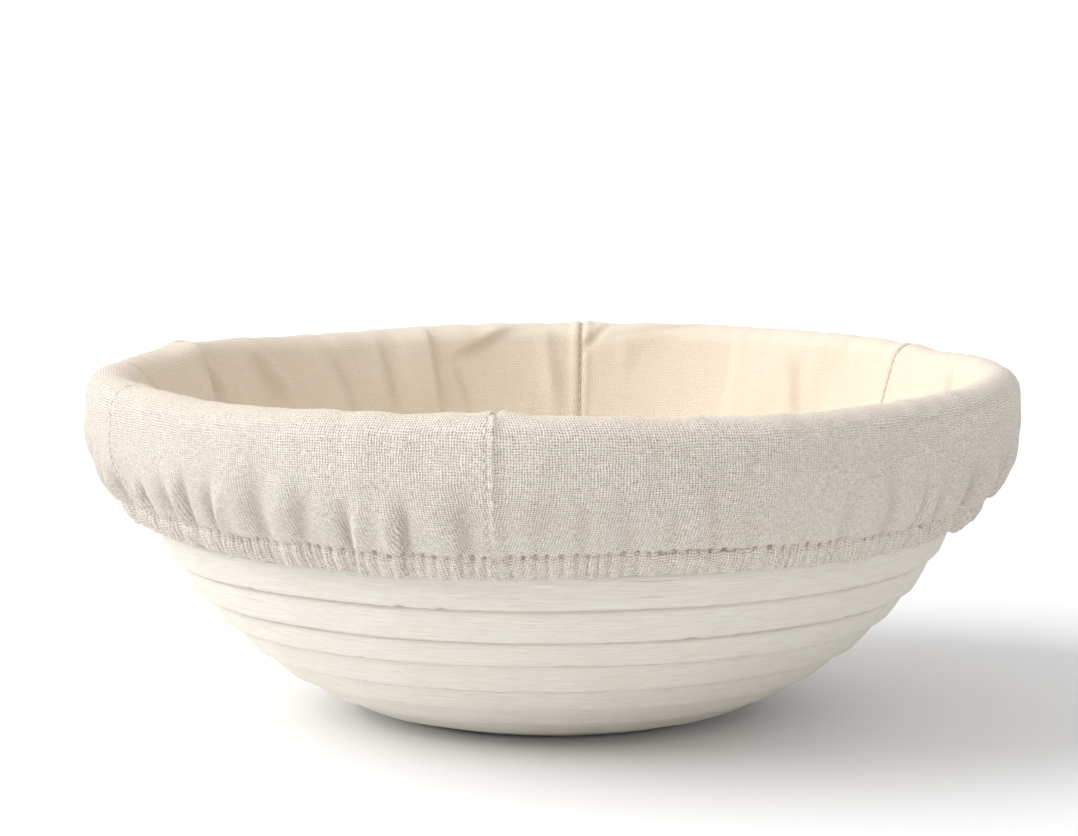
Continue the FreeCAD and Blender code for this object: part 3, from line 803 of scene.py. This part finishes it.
def elastic_ribbon():
    """The flat elastic inside the casing, with fine cords along it, lifted with the hem."""
    half_width, half_thickness, cords = 0.0019, 0.00026, 9
    middle = (MARK["stitch"] + MARK["hem"]) / 2 + 0.0004
    across = np.linspace(-1, 1, 4 * cords + 1)
    waves = half_thickness * (0.85 + 0.15 * np.abs(np.sin(cords * math.pi * (across + 1) / 2)))
    waves = waves * (1 - across**8)
    place = np.concatenate([across, across[::-1]]) * half_width
    depth = np.concatenate([waves, -waves[::-1]]) - 0.0011
    angle = np.linspace(-math.pi, math.pi, COLUMNS_ROUND // 2, endpoint=False)[:, None]
    s = middle + place[None, :] + 0 * angle
    r, z = liner_place(angle, s, depth[None, :])
    points = polar(r, angle, z)
    rows, columns = points.shape[:2]
    along = np.broadcast_to(angle * RIM_REACH, r.shape)
    uv = np.stack([along, np.broadcast_to(place[None, :], r.shape)], axis=-1)
    faces = grid_faces(rows + 1, columns, closed=True) % (rows * columns)
    piece = new_mesh_object("elastic_ribbon", points.reshape(-1, 3), faces, uv.reshape(-1, 2))
    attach(piece, "liner")
    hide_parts("elastic_band")
    return piece


# ---------------------------------------------------------------- materials


class Shading:
    """A material made of nodes, each method of which returns a node's output."""

    def __init__(self, name, roughness=0.9):
        self.material = bpy.data.materials.new(name)
        self.material.use_nodes = True
        self.tree = self.material.node_tree
        self.shader = self.tree.nodes["Principled BSDF"]
        self.shader.inputs["Roughness"].default_value = roughness

    def node(self, kind, inputs=None, **settings):
        """A node of a kind, with its settings, and inputs that are values or other nodes' outputs."""
        made = self.tree.nodes.new(kind)
        for key, value in settings.items():
            setattr(made, key, value)
        for key, value in (inputs or {}).items():
            if isinstance(value, bpy.types.NodeSocket):
                self.tree.links.new(value, made.inputs[key])
            else:
                made.inputs[key].default_value = value
        return made

    def place(self, scale=(1, 1, 1), layer="cloth"):
        """The surface's own coordinates in metres, scaled."""
        return self.scaled(self.node("ShaderNodeUVMap", uv_map=layer).outputs["UV"], scale)

    def space(self, scale=(1, 1, 1)):
        """Coordinates in metres in the piece's own space, scaled."""
        return self.scaled(self.node("ShaderNodeTexCoord").outputs["Object"], scale)

    def scaled(self, where, scale):
        """Coordinates scaled."""
        return self.node("ShaderNodeMapping", {"Vector": where, "Scale": scale}).outputs["Vector"]

    def noise(self, where, scale=1.0, detail=3.0, roughness=0.55, distortion=0.0):
        """Noise from 0 to 1."""
        values = {"Vector": where, "Scale": scale, "Detail": detail, "Roughness": roughness}
        values["Distortion"] = distortion
        return self.node("ShaderNodeTexNoise", values).outputs["Fac"]

    def ramp(self, value, low, high, from_value=0.0, to_value=1.0):
        """value moved from the range low to high into from_value to to_value, and kept in it."""
        values = {"Value": value, "From Min": low, "From Max": high}
        values.update({"To Min": from_value, "To Max": to_value})
        return self.node("ShaderNodeMapRange", values).outputs["Result"]

    def math(self, operation, first, second=0.0):
        """One sum of two numbers or outputs."""
        return self.node("ShaderNodeMath", {0: first, 1: second}, operation=operation).outputs[0]

    def mix(self, share, first, second, blend="MIX"):
        """Two colours mixed. share is a number or an output."""
        made = self.node("ShaderNodeMix", data_type="RGBA", blend_type=blend)
        for index, value in ((0, share), (6, first), (7, second)):
            if isinstance(value, bpy.types.NodeSocket):
                self.tree.links.new(value, made.inputs[index])
            else:
                made.inputs[index].default_value = (*value, 1) if index else value
        return made.outputs[2]

    def weave(self, where):
        """A plain weave from 0 in the holes to 1 on the threads, one thread to each unit of where."""
        parts = self.node("ShaderNodeSeparateXYZ", {"Vector": where}).outputs
        gaps = []
        for name in ("X", "Y"):
            sine = self.math("SINE", self.math("MULTIPLY", parts[name], math.pi))
            gaps.append(self.math("SUBTRACT", 1.0, self.math("ABSOLUTE", sine)))
        return self.math("SUBTRACT", 1.0, self.math("MULTIPLY", *gaps))

    def attribute(self, name):
        """A number stored at the mesh's vertices."""
        return self.node("ShaderNodeAttribute", attribute_name=name).outputs["Fac"]

    def color(self, value):
        """Sets the surface's colour."""
        self.tree.links.new(value, self.shader.inputs["Base Color"])

    def bump(self, height, distance, strength=1.0):
        """Adds grain finer than the mesh. height runs over distance, in metres."""
        values = {"Height": height, "Distance": distance, "Strength": strength}
        made = self.node("ShaderNodeBump", values)
        self.tree.links.new(made.outputs["Normal"], self.shader.inputs["Normal"])


THREADS_PER_METRE = 1500
THREAD_WANDER = 0.0011


def linen():
    """Creped linen: a plain weave, a soft crimp, darker flecks, brown painted shade in its folds and holes,
    and darker, warmer painted shade inside the bowl.
    """
    look = Shading("liner_cloth", 0.92)
    look.shader.inputs["Sheen Weight"].default_value = 0.12
    look.shader.inputs["Sheen Roughness"].default_value = 0.5
    flat = look.place()
    wander = look.node("ShaderNodeTexNoise", {"Vector": flat, "Scale": 210.0, "Detail": 2.0})
    shift = {0: wander.outputs["Color"], 1: (THREAD_WANDER, THREAD_WANDER, 0.0)}
    shifted = look.node("ShaderNodeVectorMath", shift, operation="MULTIPLY").outputs[0]
    warped = look.node("ShaderNodeVectorMath", {0: flat, 1: shifted}, operation="ADD").outputs[0]
    weave = look.weave(look.scaled(warped, (THREADS_PER_METRE, THREADS_PER_METRE, 1)))
    weft = look.noise(look.scaled(warped, (620, 2300, 1)), 1.0, 2.0, 0.6)
    warp = look.noise(look.scaled(warped, (2300, 620, 1)), 1.0, 2.0, 0.6)
    crepe = look.math("MAXIMUM", weft, warp)
    pebbles = look.noise(flat, 900.0, 2.0, 0.55, 0.5)
    clouds = look.noise(flat, 45.0, 3.0, 0.6)
    slubs = look.noise(look.place((60, 1400, 1)), 1.0, 2.0, 0.5)
    along = look.node("ShaderNodeSeparateXYZ", {"Vector": flat}).outputs["Y"]
    outside = look.ramp(along, MARK["top"] - 0.004, MARK["top"] + 0.008)
    light = look.mix(look.ramp(clouds, 0.35, 0.65), CLOTH_WARM, CLOTH_PALE)
    # Inside the bowl the cloth is painted darker and warmer, standing in for the bowl's shade and the warm
    # light bounced round inside it.
    light = look.mix(outside, look.mix(1.0, light, INSIDE_PAINTED_SHADE, "MULTIPLY"), light)
    streaks = look.ramp(crepe, 0.45, 0.57, 0.62, 0.0)
    spots = look.ramp(pebbles, 0.34, 0.44, 0.24, 0.0)
    flecks = look.math("ADD", streaks, spots)
    flecks = look.math("MULTIPLY", flecks, look.math("ADD", look.math("MULTIPLY", outside, 0.75), 0.25))
    light = look.mix(flecks, light, CLOTH_DARK)
    light = look.mix(look.ramp(weave, 0.30, 0.95, 0.60, 0.0), light, CLOTH_DARK)
    light = look.mix(look.ramp(slubs, 0.62, 0.75, 0.0, 0.35), light, CLOTH_PALE)
    # Painted shade from the shade attribute: brown in the needle holes, gathers, creases and seam grooves.
    marked = look.mix(look.math("MULTIPLY", look.attribute("shade"), 0.62), light, CLOTH_PAINTED_SHADE)
    look.color(marked)
    height = look.math("ADD", look.math("MULTIPLY", weave, 0.75), look.math("MULTIPLY", crepe, 1.2))
    height = look.math("ADD", height, look.math("MULTIPLY", pebbles, 0.6))
    height = look.math("MULTIPLY", height, look.math("ADD", look.math("MULTIPLY", outside, 0.7), 0.3))
    look.bump(height, 0.00065)
    return look.material


def cane():
    """Rattan under old flour: fibres, pale patches, paler low down as painted light from the floor's bounce,
    and painted shade at its edges, in its grooves and on its hidden back.
    """
    look = Shading("cane", 0.8)
    fibres = look.noise(look.place((70, 5200, 1)), 1.0, 3.0, 0.6, 0.15)
    grain = look.noise(look.place((180, 1500, 1)), 1.0, 3.0, 0.6)
    patches = look.noise(look.place((38, 150, 1)), 1.0, 4.0, 0.62, 0.4)
    specks = look.noise(look.place((900, 1600, 1)), 1.0, 2.0, 0.5)
    cracks = look.noise(look.place((28, 1700, 1)), 1.0, 1.0, 0.4)
    height = look.node("ShaderNodeSeparateXYZ", {"Vector": look.space()}).outputs["Z"]
    # Paler low down: painted light standing in for the light bounced up off the floor.
    base = look.mix(look.ramp(height, 0.0, 0.06), CANE_LOW_PAINTED_BOUNCE, CANE_HIGH)
    base = look.mix(look.ramp(patches, 0.42, 0.64, 0.0, 0.55), base, CANE_FLOUR)
    base = look.mix(look.ramp(fibres, 0.36, 0.60, 0.42, 0.0), base, CANE_DARK)
    base = look.mix(look.ramp(grain, 0.34, 0.50, 0.26, 0.0), base, CANE_DARK)
    base = look.mix(look.ramp(cracks, 0.76, 0.82, 0.0, 0.6), base, CANE_MARK_AND_SHADE)
    base = look.mix(look.ramp(specks, 0.76, 0.80, 0.0, 0.5), base, CANE_MARK_AND_SHADE)
    # Painted shade from the shade attribute, in the same brown as the real cracks and specks.
    base = look.mix(look.math("MULTIPLY", look.attribute("shade"), 0.75), base, CANE_MARK_AND_SHADE)
    look.color(base)
    rough = look.ramp(patches, 0.4, 0.7, 0.72, 0.92)
    look.tree.links.new(rough, look.shader.inputs["Roughness"])
    relief = look.math("ADD", look.math("MULTIPLY", fibres, 0.8), look.math("MULTIPLY", grain, 0.7))
    relief = look.math("ADD", relief, look.math("MULTIPLY", patches, 0.5))
    look.bump(relief, 0.00030, 0.9)
    return look.material


def twisted_thread():
    """Soft cotton thread, twisted, with a little fluff."""
    look = Shading("thread", 0.85)
    look.shader.inputs["Sheen Weight"].default_value = 0.2
    parts = look.node("ShaderNodeSeparateXYZ", {"Vector": look.place((2600, 1000, 1))}).outputs
    slant = look.math("ADD", parts["X"], parts["Y"])
    twist = look.math("SINE", look.math("MULTIPLY", slant, 2 * math.pi))
    fluff = look.noise(look.space(), 4000.0, 2.0)
    look.color(look.mix(look.ramp(twist, -1.0, 0.2, 0.45, 0.0), CLOTH_PALE, CLOTH_DARK))
    look.bump(look.math("ADD", twist, fluff), 0.00005)
    return look.material


def knitted_elastic():
    """Off-white elastic, knitted over its cords."""
    look = Shading("elastic", 0.7)
    parts = look.node("ShaderNodeSeparateXYZ", {"Vector": look.place((1200, 2600, 1))}).outputs
    knit = look.math("SINE", look.math("MULTIPLY", parts["X"], 2 * math.pi))
    wear = look.noise(look.space(), 500.0, 2.0)
    white = look.mix(look.ramp(wear, 0.3, 0.7), (0.80, 0.79, 0.75), (0.88, 0.87, 0.84))
    look.color(look.mix(look.ramp(knit, -1.0, 0.3, 0.35, 0.0), white, (0.62, 0.60, 0.55)))
    look.bump(knit, 0.00008)
    return look.material


def bamboo():
    """Split bamboo: tan, with long dark streaks."""
    look = Shading("pin", 0.6)
    streaks = look.noise(look.space((900, 900, 900)), 1.0, 3.0, 0.6)
    broad = look.noise(look.space(), 160.0, 2.0)
    tan = look.mix(look.ramp(broad, 0.3, 0.7), (0.56, 0.41, 0.22), (0.66, 0.52, 0.32))
    look.color(look.mix(look.ramp(streaks, 0.35, 0.5, 0.7, 0.0), tan, (0.30, 0.19, 0.09)))
    look.bump(streaks, 0.0001)
    return look.material


def paper_floor():
    """Plain white paper with the faintest tooth."""
    look = Shading("floor", 0.85)
    tooth = look.noise(look.space(), 900.0, 2.0)
    look.color(look.mix(look.ramp(tooth, 0.3, 0.7), (0.915, 0.918, 0.928), (0.925, 0.928, 0.938)))
    look.bump(tooth, 0.00003)
    return look.material


CLOTH_PALE = (0.945, 0.885, 0.80)
CLOTH_WARM = (0.92, 0.85, 0.755)
CLOTH_DARK = (0.67, 0.57, 0.46)
CLOTH_PAINTED_SHADE = (0.30, 0.20, 0.13)
INSIDE_PAINTED_SHADE = (0.93, 0.876, 0.803)
CANE_HIGH = (0.85, 0.82, 0.75)
CANE_LOW_PAINTED_BOUNCE = (0.95, 0.905, 0.80)
CANE_DARK = (0.68, 0.61, 0.49)
CANE_FLOUR = (0.90, 0.895, 0.87)
CANE_MARK_AND_SHADE = (0.27, 0.195, 0.12)


# ---------------------------------------------------------------- the build

cane_look = cane()
for number, (name, start, end) in enumerate(CANES):
    cane_piece(name, start, end, 100 + 10 * number).data.materials.append(cane_look)

pin_look = bamboo()
for name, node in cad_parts.items():
    if name.endswith("_pins"):
        for place in node.material_slots:
            place.material = pin_look

cloth_look = linen()
thread_look = twisted_thread()
rows = liner_rows()
for number in range(1, len(SEAMS) + 1):
    gore(number, rows).data.materials.append(cloth_look)
    seam_stitches(number).data.materials.append(thread_look)
hem_stitches().data.materials.append(thread_look)
elastic_ribbon().data.materials.append(knitted_elastic())

# ---------------------------------------------------------------- floor, light and camera

KEY_FROM = (-1.0, -0.12, 0.72)
KEY_STRENGTH = 2.50
KEY_SOFTNESS = 50.0
SKY = 0.72
CAMERA_SENSOR = 36.0
CAMERA_LENS = 110.2
CAMERA_PLACE = (-0.0035, -0.8356, 0.1740)
CAMERA_DOWN = 6.82


def add_floor():
    """A pale floor that sweeps up far behind the basket."""
    depth, height, radius, half, rows = 5.0, 2.0, 1.2, 6.0, 80
    line = Path(-2.0, 0.0).run(2.0 + depth).arc(radius, 90).run(height)
    y, z, _ = line.at(np.linspace(0, line.length, rows))
    points = np.zeros((rows, 2, 3))
    points[:, :, 0] = (-half, half)
    points[:, :, 1] = y[:, None]
    points[:, :, 2] = z[:, None]
    floor = new_mesh_object("floor", points.reshape(-1, 3), grid_faces(rows, 2))
    floor.data.materials.append(paper_floor())


def add_key():
    """A large soft light, high on the left."""
    light = bpy.data.lights.new("key", "SUN")
    light.energy = KEY_STRENGTH
    light.angle = math.radians(KEY_SOFTNESS)
    lamp = bpy.data.objects.new("key", light)
    lamp.location = KEY_FROM
    lamp.rotation_euler = (-Vector(KEY_FROM)).to_track_quat("-Z", "Y").to_euler()
    bpy.context.scene.collection.objects.link(lamp)


def add_sky():
    """Even white light from all round."""
    world = bpy.data.worlds.new("studio")
    world.use_nodes = True
    background = world.node_tree.nodes["Background"]
    background.inputs["Color"].default_value = (1, 1, 1, 1)
    background.inputs["Strength"].default_value = SKY
    bpy.context.scene.world = world


def add_camera():
    """The camera, just above the rim and looking slightly down."""
    data = bpy.data.cameras.new("camera")
    data.sensor_width = CAMERA_SENSOR
    data.lens = CAMERA_LENS
    camera = bpy.data.objects.new("camera", data)
    camera.location = CAMERA_PLACE
    camera.rotation_euler = (math.radians(90 - CAMERA_DOWN), 0, 0)
    bpy.context.scene.collection.objects.link(camera)
    bpy.context.scene.camera = camera


add_floor()
add_key()
add_sky()
add_camera()
bpy.context.scene.view_settings.view_transform = "Standard"
